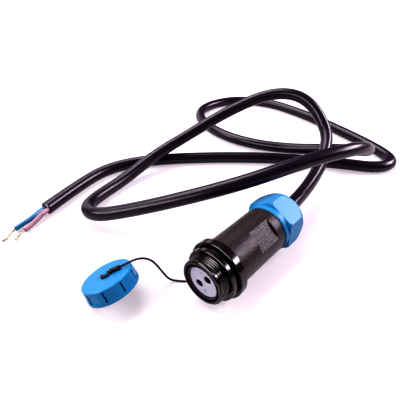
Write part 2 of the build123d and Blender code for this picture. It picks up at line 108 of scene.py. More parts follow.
# Dust cap, post and lanyard's eye in the cap's own frame: stations rise, and the cap's top face is at 0
CAP_PLACE, CAP_TILT, CAP_LEAN = (-32.3, -20.8), 26.0, 193.0
CAP_HEIGHT, CAP_RADIUS, CAP_TOP_RADIUS, CAP_TOP_EDGE, CAP_TOP_THICKNESS = 6.6, 11.2, 10.85, 0.3, 1.4
CAP_BORE, CAP_POST_HOLE, CAP_TOP_FLAT = 10.05, 1.05, (1.5, 10.3)
CAP_THREAD_CREST, CAP_THREAD_PITCH, CAP_THREAD_TURNS, CAP_THREAD_START = 9.7, 0.9, 3, 0.5
CAP_RIM, CAP_PANEL_TOP, CAP_PANEL_DISTANCE, CAP_PANELS = 1.1, 0.7, 10.75, 9
CAP_GROOVE_TURN, CAP_GROOVE_WIDTH, CAP_GROOVE_DEPTH = 24.0, 0.8, 0.4
CAP_CLEARANCE = 0.03  # keeps the panels' and grooves' cutters off each other's planes
CAP_BAND_SIDES, CAP_SHADE_ANGLE = 72, 8.0
TETHER_HEADING = 52.0
EYE_RADIUS, EYE_WIDTH, EYE_THICKNESS, EYE_HEIGHT, EYE_SIDES = 1.72, 0.6, 0.45, 0.5, 16
CRIMP_HEIGHT, CRIMP_RADIUS, CRIMP_START, CRIMP_LENGTH, CRIMP_FLATNESS = 0.95, 0.92, 2.3, 4.3, 1.25
CRIMP_WAIST = ((1.0, 0.36), (0.86, 0.42), (0.86, 0.58), (1.0, 0.64))  # parts of its radius and length
CRIMP_FRONT, CRIMP_BACK, CRIMP_BACK_EDGE = 1.2, 1.1, 0.2  # parts of the cord's radius, and a length
POST_RADIUS, POST_HEAD_RADIUS, POST_CROWN_RADIUS, POST_DIMPLE = 1.0, 1.25, 0.95, 0.5
POST_HEAD_START, POST_HEAD_EDGE, POST_HEAD_TOP = 1.0, 1.15, 1.4
POST_FOOT_RADIUS, POST_FOOT_TOP, POST_FOOT_END = 1.9, -1.42, -1.92

# Cable, cores, bare strands and lanyard: the control points of their splines
CABLE_ROUTE = [
    (0, 40, 0), (0, 64, 0), (-3, 92, 0), (-9, 118, 3), (-17, 135, 12), (-37, 139, 26.98), (-57, 130, 26.98),
    (-76, 110, 15), (-87, 87, 4), (-93, 62, -3), (-93, 35, CABLE_FLOOR), (-90, 14, CABLE_FLOOR), (-84, 3, -8),
    (-73, 1, -6), (-60, 10, -2), (-40, 25, 6), (-17, 48, 15), (-2, 75, 20.5), (8, 94, 22), (13, 109, 20),
    (13, 124, 13), (2, 134, 5), (-16, 137, -2), (-37, 134, -8), (-60, 125, CABLE_FLOOR),
    (-84, 121, CABLE_FLOOR), (-109, 126, CABLE_FLOOR), (-129, 140, CABLE_FLOOR), (-133, 162, CABLE_FLOOR),
    (-123, 185, CABLE_FLOOR), (-98, 198, CABLE_FLOOR), (-66, 196, CABLE_FLOOR), (-32, 187, CABLE_FLOOR),
    (1, 176, CABLE_FLOOR), (19, 165, CABLE_FLOOR), (15, 150, CABLE_FLOOR), (-5, 140, CABLE_FLOOR),
    (-38, 120, CABLE_FLOOR), (-71, 92, CABLE_FLOOR), (-101, 60, CABLE_FLOOR), (-111, 37, CABLE_FLOOR),
    (-108, 15, CABLE_FLOOR), (-101, -10, CABLE_FLOOR),
]
MOUTH_LENGTH, MOUTH_BORE, MOUTH_DEPTH, MOUTH_EDGE = 3.0, 2.75, 0.7, 0.15
FILLER_START, FILLER_CROWN = 0.1, 0.8  # a length, and the middle's depth as a part of the edge's
CORE_BLUE_ROUTE = [
    (-103.0, -7.7, -9.5), (-101.3, -13.9, -9.5), (-99.9, -18.4, -9.9),
    (-99.4, -24.2, -10.6), (-99.4, -28.5, -11.2),
]
CORE_BROWN_ROUTE = [
    (-100.5, -6.9, -9.5), (-98.9, -12.6, -9.5), (-98.1, -15.7, -10.2),
    (-96.8, -20.1, -11.0), (-95.4, -25.4, -11.5),
]
STRANDS_BLUE_ROUTE = [
    (-99.4, -27.5, -11.1), (-99.3, -29.8, -11.4), (-97.9, -32.2, -11.8),
    (-96.5, -34.2, -12.1), (-96.6, -36.5, -12.2),
]
STRANDS_BROWN_ROUTE = [
    (-95.6, -24.6, -11.4), (-95.0, -26.8, -11.6), (-93.9, -29.6, -11.9), (-92.5, -31.6, -12.2),
]
WIRES_ROUND, WIRE_TWIST = 6, 1.2  # wires round the middle one, and their turns from end to end
WIRE_SPACING, WIRE_SPLAY = 0.95, 0.25  # parts of a wire's diameter, along the bundle and more at its end
TETHER_ROUTE = [
    (-30.5, -17.4, 0.0), (-28.2, -13.7, 1.7), (-25.0, -9.9, 4.2), (-21.9, -6.7, 3.7), (-20.7, -4.3, -0.5),
    (-19.8, -2.1, -6.2), (-18.6, 0.4, -12.0), (-15.3, 2.9, -12.5), (-12.6, 5.1, -12.5), (-10.9, 7.0, -12.1),
    (-9.3, 7.95, -11.0),
]

# Stage in metres: paper that glows a little, like a light table, so that shadows stay pale
PAPER_COLOUR, PAPER_GLOW = (0.46, 0.45, 0.46), (1.0, 0.9, 0.98)
PAPER_FINISH = dict(tone=0.98, rough=0.8, spread=0.05, grain=200.0, relief=0.00001, gloss=0.1)
FLOOR_SIZE, FLOOR_GLOW_STRENGTH = 6.0, 0.28
WALL_RADIUS, WALL_HEIGHT, WALL_SIDES, WALL_GLOW_STRENGTH = 2.9, 6.0, 96, 0.48
SKY_COLOUR, SKY_STRENGTH = (1.0, 0.82, 0.94), 0.14
STAGE_MIDDLE = (-0.03, 0.05, 0.0)
LIGHTS = (  # name, direction from the middle, distance, width and height, power, colour
    ("front_light", (-0.2, -0.81, 0.545), 2.0, (2.4, 0.23), 27.0, (1.0, 0.95, 0.97)),
    ("top_light", (-0.5, 0.05, 0.86), 1.5, (1.4, 0.9), 18.5, (1.0, 0.93, 0.98)),
    ("flat_light", (0.47, 0.69, 0.545), 1.4, (0.85, 0.3), 15.0, (1.0, 0.88, 1.0)),
    ("left_light", (-0.95, 0.22, 0.14), 1.2, (1.0, 0.6), 1.7, (1.0, 0.97, 1.0)),
)

# Camera of the photograph, its place in millimetres
CAMERA_PLACE = (62.41, -70.12, 106.77)
CAMERA_FORWARD = (-0.543, 0.6034, -0.584)
CAMERA_RIGHT = (0.7433, 0.6689, 0.0)
CAMERA_LENS, SENSOR_WIDTH = 32.75, 36.0

# Nodes that every finish shares
CLOUD_SHARE, CLOUD_DETAIL = 0.15, 4.0  # patches of tone: their scale as a part of the grain's
PIT_DETAIL, PIT_STRENGTH, LEAST_ROUGH = 3.0, 0.6, 0.02

# Finishes by slot: the colour's property and what moulded_finish is told
FINISHES = {
    "shell_black": ("shell", dict(rough=0.15, spread=0.03, grain=1500.0, relief=0.000006, gloss=0.55)),
    "housing_black": (
        "housing", dict(tone=0.5, rough=0.34, spread=0.2, grain=1700.0, relief=0.0003, gloss=0.42)),
    "insert_grey": (
        "insert", dict(tone=0.93, rough=0.5, spread=0.05, grain=1500.0, relief=0.00002, gloss=0.3)),
    "gland_blue": ("gland", dict(tone=0.85, rough=0.4, grain=1500.0, gloss=0.35)),
    "collet_white": ("collet", dict(tone=0.92, rough=0.45)),
    "seal_rubber": ("seal", dict(rough=0.6, spread=0.1, gloss=0.3)),
    "contact_brass": ("contact", dict(tone=0.85, rough=0.25, metal=1.0)),
    "cable_black": ("cable", dict(rough=0.3, grain=1100.0, gloss=0.45)),
    "core_blue": ("core_blue", dict(tone=0.8, rough=0.25, gloss=0.7)),
    "core_brown": ("core_brown", dict(tone=0.8, rough=0.25, gloss=0.7)),
    "bare_wire": ("wire", dict(tone=0.75, rough=0.32, spread=0.08, grain=4000.0, metal=1.0)),
    "tether_black": ("cable", dict(rough=0.3, grain=2500.0, relief=0.00002, gloss=0.3)),
    "filler_pale": (
        "filler", dict(tone=0.8, rough=0.7, spread=0.1, grain=2500.0, relief=0.0001, gloss=0.2)),
}


def colour_of(name, description, default):
    """Colour property with its name, its use and its value."""
    return FloatVectorProperty(
        name=name, description=description, subtype="COLOR", min=0.0, max=1.0, default=default)


def length_of(name, description, default):
    """Length property in metres with its name, its use and its value."""
    return FloatProperty(name=name, description=description, unit="LENGTH", precision=5, default=default)


class ConnectorColours(bpy.types.PropertyGroup):
    """Colours of the connector's finishes."""

    shell: colour_of("Shell", "Glossy black of the front shell", (0.009, 0.007, 0.008))
    housing: colour_of("Housing", "Grainy black of the rear housing", (0.034, 0.021, 0.022))
    insert: colour_of("Insert", "Pale lilac grey of the contact insert", (0.53, 0.53, 0.635))
    gland: colour_of("Gland blue", "Blue of gland nut and dust cap", (0.022, 0.228, 0.455))
    cable: colour_of("Cable", "Purplish black of the cable's jacket", (0.014, 0.006, 0.019))
    core_blue: colour_of("Blue core", "Insulation of the blue core", (0.012, 0.15, 0.31))
    core_brown: colour_of("Brown core", "Insulation of the brown core", (0.34, 0.18, 0.22))
    filler: colour_of("Filler", "Pale filling inside the jacket", (0.75, 0.68, 0.66))
    wire: colour_of("Wire", "Bare stranded copper", (0.5, 0.45, 0.31))
    collet: colour_of("Collet", "White clamp ring in the gland", (0.7, 0.7, 0.68))
    seal: colour_of("Seal", "Black rubber of the seals", (0.012, 0.011, 0.012))
    contact: colour_of("Contact", "Brass of the contacts", (0.8, 0.58, 0.24))


class ConnectorSizes(bpy.types.PropertyGroup):
    """Sizes of the cable, the lanyard and the threads."""

    cable_diameter: length_of("Cable diameter", "Outside of the jacket", 0.007)
    core_diameter: length_of("Core diameter", "Outside of one insulated core", 0.0026)
    wire_diameter: length_of("Wire diameter", "One strand of a bare conductor", 0.00034)
    tether_diameter: length_of("Lanyard diameter", "Outside of the lanyard", 0.0009)
    thread_pitch: length_of("Thread pitch", "Pitch of the mating thread", 0.00095)
    edge: length_of("Edge", "Rounding of moulded edges", 0.00015)
    thread_turns: IntProperty(name="Thread turns", description="Turns of the mating thread", min=1, default=4)


def in_metres(points):
    """Millimetre points of the frame as vectors in metres."""
    return [Vector(point) * MM for point in points]


def about_axis(offset, turn, station):
    """Millimetre point at an offset from the connector's axis."""
    return Vector((offset * sin(radians(turn)), station, offset * cos(radians(turn))))


def moulded_finish(
    name, colour, tone=0.7, rough=0.35, spread=0.06, grain=1200.0, relief=0.00003, metal=0.0, gloss=0.5
):
    """Material with a faint change of tone, of roughness and of relief from one grain size."""
    material = bpy.data.materials.new(name)
    material.use_nodes = True
    nodes, links = material.node_tree.nodes, material.node_tree.links
    shader = nodes["Principled BSDF"]
    shader.inputs["Metallic"].default_value = metal
    shader.inputs["Specular IOR Level"].default_value = gloss
    place = nodes.new("ShaderNodeTexCoord")
    clouds = nodes.new("ShaderNodeTexNoise")
    clouds.inputs["Scale"].default_value = grain * CLOUD_SHARE
    clouds.inputs["Detail"].default_value = CLOUD_DETAIL
    links.new(place.outputs["Object"], clouds.inputs["Vector"])
    blend = nodes.new("ShaderNodeMix")
    blend.data_type = "RGBA"
    blend.inputs["A"].default_value = (*colour, 1.0)
    blend.inputs["B"].default_value = (*(value * tone for value in colour), 1.0)
    links.new(clouds.outputs["Fac"], blend.inputs["Factor"])
    links.new(blend.outputs["Result"], shader.inputs["Base Color"])
    pits = nodes.new("ShaderNodeTexNoise")
    pits.inputs["Scale"].default_value = grain
    pits.inputs["Detail"].default_value = PIT_DETAIL
    links.new(place.outputs["Object"], pits.inputs["Vector"])
    shine = nodes.new("ShaderNodeMapRange")
    shine.inputs["To Min"].default_value = max(rough - spread, LEAST_ROUGH)
    shine.inputs["To Max"].default_value = rough + spread
    links.new(pits.outputs["Fac"], shine.inputs["Value"])
    links.new(shine.outputs["Result"], shader.inputs["Roughness"])
    bump = nodes.new("ShaderNodeBump")
    bump.inputs["Strength"].default_value = PIT_STRENGTH
    bump.inputs["Distance"].default_value = relief
    links.new(pits.outputs["Fac"], bump.inputs["Height"])
    links.new(bump.outputs["Normal"], shader.inputs["Normal"])
    return material


def finish_named(name):
    """Finish by its slot's name, made once from the scene's colours."""
    if name in bpy.data.materials and bpy.data.materials[name].get("connector_finish"):
        return bpy.data.materials[name]
    colour, values = FINISHES[name]
    material = moulded_finish(name, getattr(bpy.context.scene.connector_colours, colour), **values)
    material["connector_finish"] = True
    return material


def give_finish(piece, name):
    """Put one finish on a piece in place of what it had."""
    piece.data.materials.clear()
    piece.data.materials.append(finish_named(name))


def settle(piece, finish, body, *nodes):
    """Finish a piece, let it move with a body and let it stand for solids."""
    give_finish(piece, finish)
    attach(piece, body)
    if nodes:
        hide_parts(*nodes)


def draw_outline(name, outline):
    """Line of edges through (radius, station) points, by extruding one vertex."""
    bpy.ops.mesh.primitive_plane_add(size=MM)
    piece = bpy.context.object
    piece.name = piece.data.name = name
    bpy.ops.object.mode_set(mode="EDIT")
    bpy.ops.mesh.select_all(action="SELECT")
    bpy.ops.mesh.merge(type="CENTER")
    points = in_metres([(radius, station, 0) for radius, station in outline])
    bpy.ops.transform.translate(value=points[0])
    for before, after in zip(points, points[1:]):
        bpy.ops.mesh.extrude_region_move(TRANSFORM_OT_translate={"value": after - before})
    return piece


def turn_outline(name, outline, steps):
    """Closed solid of revolution about +Y from a closed or axis-to-axis outline."""
    piece = draw_outline(name, outline)
    bpy.ops.mesh.select_all(action="SELECT")
    bpy.ops.mesh.spin(steps=steps, angle=tau, center=(0, 0, 0), axis=(0, 1, 0))
    bpy.ops.mesh.select_all(action="SELECT")
    bpy.ops.mesh.remove_doubles(threshold=MERGE_DISTANCE)
    bpy.ops.mesh.normals_make_consistent(inside=False)
    bpy.ops.object.mode_set(mode="OBJECT")
    return piece


def wind_ridge(name, root, crest, pitch, turns, start, steps):
    """Thread ridge wound about +Y, closed at both ends."""
    profile = [
        (root, start), (crest, start + pitch * RIDGE_CREST_START),
        (crest, start + pitch * RIDGE_CREST_END), (root, start + pitch * RIDGE_END),
    ]
    ridge = draw_outline(name, profile + profile[:1])
    bpy.ops.mesh.select_all(action="SELECT")
    bpy.ops.mesh.remove_doubles(threshold=MERGE_DISTANCE)
    bpy.ops.object.mode_set(mode="OBJECT")
    apply_modifier(
        ridge, "SCREW", axis="Y", screw_offset=pitch * MM, iterations=turns, steps=steps, render_steps=steps)
    bpy.ops.object.mode_set(mode="EDIT")
    bpy.ops.mesh.select_all(action="SELECT")
    bpy.ops.mesh.fill_holes(sides=8)
    bpy.ops.mesh.normals_make_consistent(inside=False)
    bpy.ops.object.mode_set(mode="OBJECT")
    return ridge


def arc_through(start, middle, end, steps):
    """Points after the start on the circle through three outline points."""
    (ax, ay), (bx, by), (cx, cy) = start, middle, end
    double = 2 * (ax * (by - cy) + bx * (cy - ay) + cx * (ay - by))
    sums = [x * x + y * y for x, y in (start, middle, end)]
    centre = Vector((
        (sums[0] * (by - cy) + sums[1] * (cy - ay) + sums[2] * (ay - by)) / double,
        (sums[0] * (cx - bx) + sums[1] * (ax - cx) + sums[2] * (bx - ax)) / double,
    ))
    first, last = Vector(start) - centre, Vector(end) - centre
    sweep = first.angle_signed(last)
    points = []
    for step in range(1, steps + 1):
        spoke = first.copy()
        spoke.rotate(Matrix.Rotation(-sweep * step / steps, 2))
        points.append(tuple(centre + spoke))
    return points


def pick(piece, *others):
    """Select pieces and nothing else, with the first one active."""
    bpy.ops.object.select_all(action="DESELECT")
    for item in (piece, *others):
        item.select_set(True)
    bpy.context.view_layer.objects.active = piece


def apply_modifier(piece, kind, **values):
    """Add one modifier to a piece and apply it."""
    bpy.context.view_layer.objects.active = piece
    modifier = piece.modifiers.new(kind.lower(), kind)
    for name, value in values.items():
        setattr(modifier, name, value)
    bpy.ops.object.modifier_apply(modifier=modifier.name)


def cut(piece, tool, operation="DIFFERENCE"):
    """Cut a piece with a tool, or keep what both share, and drop the tool."""
    apply_modifier(piece, "BOOLEAN", operation=operation, object=tool, solver="EXACT")
    bpy.data.objects.remove(tool)


def soften(piece, width, segments=2, angle=25.0):
    """Round the edges sharper than an angle in degrees and shade the piece."""
    apply_modifier(
        piece, "BEVEL", width=width, segments=segments, limit_method="ANGLE", angle_limit=radians(angle))
    shade(piece)


def shade(piece, smooth=28.0):
    """Shade a piece smooth but for edges sharper than an angle in degrees."""
    pick(piece)
    bpy.ops.object.shade_smooth_by_angle(angle=radians(smooth))
    apply_modifier(piece, "WEIGHTED_NORMAL", keep_sharp=True)


def join(piece, *others):
    """Make several meshes one object."""
    pick(piece, *others)
    bpy.ops.object.join()


def place(piece, matrix):
    """Move a piece's mesh by a matrix, leaving its object at the origin."""
    pick(piece)
    piece.matrix_world = matrix
    bpy.ops.object.transform_apply(location=True, rotation=True, scale=True)


def add_block(size, matrix):
    """Box of a size in millimetres, placed by a matrix in metres."""
    bpy.ops.mesh.primitive_cube_add(size=1.0)
    block = bpy.context.object
    place(block, matrix @ Matrix.Diagonal((*(Vector(size) * MM), 1.0)))
    return block


def add_prism(sides, radius, start, end):
    """Prism about +Y between two stations, with a corner at +Z."""
    bpy.ops.mesh.primitive_cylinder_add(vertices=sides, radius=radius * MM, depth=(end - start) * MM)
    prism = bpy.context.object
    place(prism, Matrix.Translation((0, (start + end) / 2 * MM, 0)) @ Matrix.Rotation(pi / 2, 4, "X"))
    return prism


def axes_matrix(origin, side, along):
    """Matrix that carries +X to a side, +Y along a direction and the origin to a point in millimetres."""
    side, along = Vector(side).normalized(), Vector(along).normalized()
    turn = Matrix((side, along, side.cross(along))).transposed().to_4x4()
    return Matrix.Translation(Vector(origin) * MM) @ turn


def cap_matrix():
    """Matrix of the dust cap: +X towards the lanyard, +Y out of its top face."""
    tilt, lean, heading = radians(CAP_TILT), radians(CAP_LEAN), radians(TETHER_HEADING)
    normal = Vector((sin(tilt) * cos(lean), sin(tilt) * sin(lean), cos(tilt)))
    plan = Vector((cos(heading), sin(heading), 0))
    centre = (*CAP_PLACE, FLOOR + CAP_HEIGHT * cos(tilt) + CAP_RADIUS * sin(tilt))
    return axes_matrix(centre, plan - normal * normal.dot(plan), normal)


def route_curve(name, routes, diameter, kind="NURBS", steps=12, sides=14):
    """Round cord of one or more splines whose control points are millimetre points."""
    curve = bpy.data.curves.new(name, "CURVE")
    curve.dimensions = "3D"
    for route in routes:
        spline = curve.splines.new(kind)
        spline.points.add(len(route) - 1)
        for knot, point in zip(spline.points, in_metres(route)):
            knot.co = (*point, 1.0)
        spline.order_u = 3
        spline.use_endpoint_u = True
        spline.use_smooth = True
        spline.resolution_u = steps
    curve.bevel_depth = diameter / 2
    curve.bevel_resolution = sides
    curve.use_fill_caps = True
    cord = bpy.data.objects.new(name, curve)
    bpy.context.collection.objects.link(cord)
    return cord


def spline_points(route):
    """Millimetre points on the smooth spline that a route's points control."""
    line = route_curve("spline_line", [route], 0.0)
    trace = bpy.data.meshes.new_from_object(line)
    points = [vertex.co / MM for vertex in trace.vertices]
    curve = line.data
    bpy.data.objects.remove(line)
    bpy.data.curves.remove(curve)
    bpy.data.meshes.remove(trace)
    return points


class CONNECTOR_OT_turn_shell(bpy.types.Operator):
    """Turn the front shell and wind its mating thread"""

    bl_idname = "connector.turn_shell"
    bl_label = "Turn shell"

    def execute(self, context):
        sizes = context.scene.connector_sizes
        shell = turn_outline("front_shell_dressed", [
            (PLUG_GROOVE_RADIUS, 0), (RIM_RADIUS, 0), (LIP_RADIUS, RIM_EDGE), (LIP_RADIUS, LIP_END),
            (THREAD_ROOT, THREAD_START), (THREAD_ROOT, COLLAR_START),
            (COLLAR_RADIUS - COLLAR_EDGE, COLLAR_START), (COLLAR_RADIUS, COLLAR_START + COLLAR_EDGE),
            (COLLAR_RADIUS, COLLAR_END - COLLAR_EDGE),
            (COLLAR_RADIUS - COLLAR_EDGE, COLLAR_END), (TETHER_GROOVE_RADIUS, COLLAR_END),
            (TETHER_GROOVE_RADIUS, FLANGE_START), (FLANGE_RADIUS - FLANGE_EDGE, FLANGE_START),
            (FLANGE_RADIUS, FLANGE_START + FLANGE_EDGE), (FLANGE_RADIUS, FLANGE_END - FLANGE_EDGE),
            (FLANGE_RADIUS - FLANGE_EDGE, FLANGE_END), (SPIGOT_RADIUS, FLANGE_END),
            (SPIGOT_RADIUS, SPIGOT_END), (RETAINER_RADIUS, SPIGOT_END), (RETAINER_RADIUS, INSERT_SEAT),
            (TUBE_BORE, INSERT_SEAT), (TUBE_BORE, TUBE_START), (TUBE_RADIUS, TUBE_START),
            (TUBE_RADIUS, PLUG_GROOVE_END),
            (PLUG_GROOVE_RADIUS, PLUG_GROOVE_END), (PLUG_GROOVE_RADIUS, 0),
        ], BODY_STEPS)
        soften(shell, sizes.edge * SHELL_EDGE_SHARE)
        ridge = wind_ridge(
            "mating_thread", THREAD_ROOT - RIDGE_SINK, THREAD_CREST, sizes.thread_pitch / MM,
            sizes.thread_turns, THREAD_START + RIDGE_SINK, BODY_STEPS)
        shade(ridge)
        keys = []
        for key_turn in KEY_TURNS:
            turn = ROLL + key_turn
            middle = about_axis(TUBE_RADIUS + KEY_RISE, turn, KEY_START + KEY_SIZE[1] / 2)
            side = about_axis(1, turn + 90, 0)
            key = add_block(KEY_SIZE, axes_matrix(middle, side, (0, 1, 0)))
            soften(key, sizes.edge * KEY_EDGE_SHARE, KEY_EDGE_SEGMENTS)
            keys.append(key)
        join(shell, ridge, *keys)
        settle(shell, "shell_black", "connector", "front_shell")
        return {"FINISHED"}


class CONNECTOR_OT_number_insert(bpy.types.Operator):
    """Number the contacts on the insert's face and line their holes with dark tubes of painted shade"""

    bl_idname = "connector.number_insert"
    bl_label = "Number insert"

    def execute(self, context):
        give_finish(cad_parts["contact_insert"], "insert_grey")
        for number, side in (("1", 1), ("2", -1)):
            bpy.ops.object.text_add()
            text = context.object
            text.name = "contact_number_" + number
            text.data.body = number
            text.data.size = NUMBER_SIZE * MM
            text.data.extrude = NUMBER_RELIEF * MM
            text.data.align_x, text.data.align_y = "CENTER", "CENTER"
            bpy.ops.object.convert(target="MESH")
            spot = about_axis(side * CONTACT_OFFSET, ROLL, INSERT_FACE)
            spot += side * Vector((NUMBER_SHIFT[0], 0, NUMBER_SHIFT[1]))
            place(text, Matrix.Translation(spot * MM) @ Matrix.Rotation(pi / 2, 4, "X"))
            settle(text, "seal_rubber", "connector")
            # A dark lining inside each contact hole is painted shade: it stands in for the shade deep in the
            # hole
            dark_lining = turn_outline("contact_sleeve_" + number, [
                (HOLE_SHADE_BORE, HOLE_SHADE_START), (HOLE_SHADE_RADIUS, HOLE_SHADE_START), (HOLE_SHADE_RADIUS, HOLE_SHADE_END),
                (HOLE_SHADE_BORE, HOLE_SHADE_END), (HOLE_SHADE_BORE, HOLE_SHADE_START),
            ], HOLE_SHADE_STEPS)
            shade(dark_lining)
            place(dark_lining, Matrix.Translation(about_axis(side * CONTACT_OFFSET, ROLL, 0) * MM))
            settle(dark_lining, "seal_rubber", "connector")
        return {"FINISHED"}


class CONNECTOR_OT_turn_housing(bpy.types.Operator):
    """Turn the rear housing and mill its wrench flats"""

    bl_idname = "connector.turn_housing"
    bl_label = "Turn housing"

    def execute(self, context):
        housing = turn_outline("rear_housing_dressed", [
            (SPIGOT_BORE, HOUSING_START), (HOUSING_RADIUS - HOUSING_FRONT_EDGE, HOUSING_START),
            (HOUSING_RADIUS, HOUSING_START + HOUSING_FRONT_EDGE),
            (HOUSING_RADIUS, HOUSING_END - HOUSING_BACK_EDGE),
            (HOUSING_RADIUS - HOUSING_BACK_EDGE, HOUSING_END), (GLAND_BOSS_RADIUS, HOUSING_END),
            (GLAND_BOSS_RADIUS, GLAND_BOSS_END), (SEAL_POCKET_RADIUS, GLAND_BOSS_END),
            (SEAL_POCKET_RADIUS, SEAL_POCKET_END), (CABLE_PASSAGE, SEAL_POCKET_END),
            (CABLE_PASSAGE, CONE_END), (CAVITY_RADIUS, CAVITY_END), (CAVITY_RADIUS, SPIGOT_BORE_END),
            (SPIGOT_BORE, SPIGOT_BORE_END), (SPIGOT_BORE, HOUSING_START),
        ], BODY_STEPS)
        depth = HOUSING_RADIUS
        for turn in (ROLL, ROLL + 180):
            middle = about_axis(FLAT_DISTANCE + depth / 2, turn, (FLAT_START + FLAT_END) / 2)
            block = add_block(
                (HOUSING_RADIUS * 2, FLAT_END - FLAT_START, depth),
                axes_matrix(middle, about_axis(1, turn + 90, 0), (0, 1, 0)))
            cut(housing, block)
        soften(housing, context.scene.connector_sizes.edge)
        settle(housing, "housing_black", "connector", "rear_housing")
        return {"FINISHED"}


class CONNECTOR_OT_shape_nut(bpy.types.Operator):
    """Turn the gland nut, dome its back and mill its six sides"""

    bl_idname = "connector.shape_nut"
    bl_label = "Shape gland nut"

    def execute(self, context):
        dome_start = (NUT_CORNER_RADIUS, NUT_HEX_END)
        dome_middle = (NUT_DOME_MIDDLE, (NUT_HEX_END + NUT_END) / 2)
        nut = turn_outline("gland_nut_dressed", [
            (CABLE_PASSAGE, NUT_END), (CABLE_PASSAGE, NUT_CONE_END), (NUT_CONE_BACK, NUT_CONE_END),
            (NUT_CONE_FRONT, NUT_CONE_START), (NUT_BORE, NUT_CONE_START), (NUT_BORE, NUT_START),
            (NUT_COLLAR_RADIUS - NUT_COLLAR_EDGE, NUT_START),
            (NUT_COLLAR_RADIUS, NUT_START + NUT_COLLAR_EDGE),
            (NUT_COLLAR_RADIUS, NUT_COLLAR_END), (NUT_CORNER_RADIUS - NUT_SHOULDER, NUT_COLLAR_END),
            (NUT_CORNER_RADIUS, NUT_COLLAR_END + NUT_SHOULDER), dome_start,
            *arc_through(dome_start, dome_middle, (NUT_BACK_RADIUS, NUT_END), NUT_DOME_STEPS),
            (CABLE_PASSAGE, NUT_END),
        ], BODY_STEPS)
        hexagon = add_prism(
            NUT_SIDES, NUT_CORNER_RADIUS, NUT_START - CUTTER_OVERHANG, NUT_END + CUTTER_OVERHANG)
        cut(nut, hexagon, "INTERSECT")
        soften(nut, context.scene.connector_sizes.edge, angle=NUT_EDGE_ANGLE)
        settle(nut, "gland_blue", "connector", "gland_nut")
        return {"FINISHED"}


class CONNECTOR_OT_mould_cap(bpy.types.Operator):
    """Mould the dust cap with its grip panels, its inside thread and its post"""

    bl_idname = "connector.mould_cap"
    bl_label = "Mould dust cap"

    def execute(self, context):
        sizes = context.scene.connector_sizes
        cap = turn_outline("dust_cap_dressed", [
            (CAP_POST_HOLE, 0), (CAP_TOP_FLAT[0], 0), (CAP_TOP_FLAT[1], 0),
            (CAP_TOP_RADIUS - CAP_TOP_EDGE, 0), (CAP_TOP_RADIUS, -CAP_TOP_EDGE),
            (CAP_RADIUS, CAP_RIM - CAP_HEIGHT), (CAP_RADIUS, -CAP_HEIGHT), (CAP_BORE, -CAP_HEIGHT),
            (CAP_BORE, -CAP_TOP_THICKNESS), (CAP_POST_HOLE, -CAP_TOP_THICKNESS), (CAP_POST_HOLE, 0),
        ], CAP_STEPS)
        step = tau / CAP_PANELS
        band_start, band_end = CAP_RIM - CAP_HEIGHT, -CAP_PANEL_TOP
        band = add_prism(CAP_BAND_SIDES, CAP_RADIUS + CUTTER_OVERHANG, band_start - CAP_CLEARANCE, band_end)
        core = add_prism(
            CAP_PANELS, CAP_PANEL_DISTANCE / cos(step / 2), band_start - CUTTER_OVERHANG,
            band_end + CUTTER_OVERHANG)
        place(core, Matrix.Rotation(radians(90 - CAP_GROOVE_TURN), 4, "Y"))
        cut(band, core)
        cut(cap, band)
        groove_size = (2 * CUTTER_OVERHANG, band_end - band_start - CAP_CLEARANCE, CAP_GROOVE_WIDTH)
        groove_offset = CAP_PANEL_DISTANCE - CAP_GROOVE_DEPTH + CUTTER_OVERHANG
        for panel in range(CAP_PANELS):
            turn = radians(CAP_GROOVE_TURN) + step * panel
            outward = Vector((cos(turn), 0, -sin(turn)))
            middle = outward * groove_offset + Vector((0, (band_start + band_end) / 2, 0))
            cut(cap, add_block(groove_size, axes_matrix(middle, outward, (0, 1, 0))))
        shade(cap, CAP_SHADE_ANGLE)
        ridge = wind_ridge(
            "cap_thread", CAP_BORE + RIDGE_SINK, CAP_THREAD_CREST, CAP_THREAD_PITCH, CAP_THREAD_TURNS,
            CAP_THREAD_START - CAP_HEIGHT, CAP_THREAD_STEPS)
        shade(ridge)
        join(cap, ridge)
        place(cap, cap_matrix())
        settle(cap, "gland_blue", "cap", "dust_cap")

        post = turn_outline("cap_post_dressed", [
            (0, POST_FOOT_END), (POST_FOOT_RADIUS, POST_FOOT_END), (POST_FOOT_RADIUS, POST_FOOT_TOP),
            (POST_RADIUS, POST_FOOT_TOP), (POST_RADIUS, POST_HEAD_START), (POST_HEAD_RADIUS, POST_HEAD_START),
            (POST_HEAD_RADIUS, POST_HEAD_EDGE), (POST_CROWN_RADIUS, POST_HEAD_TOP),
            (POST_DIMPLE, POST_HEAD_TOP), (0, POST_HEAD_START),
        ], POST_STEPS)
        soften(post, sizes.edge)
        place(post, cap_matrix())
        settle(post, "gland_blue", "cap", "cap_post")
        give_finish(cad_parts["cap_seal"], "seal_rubber")
        return {"FINISHED"}


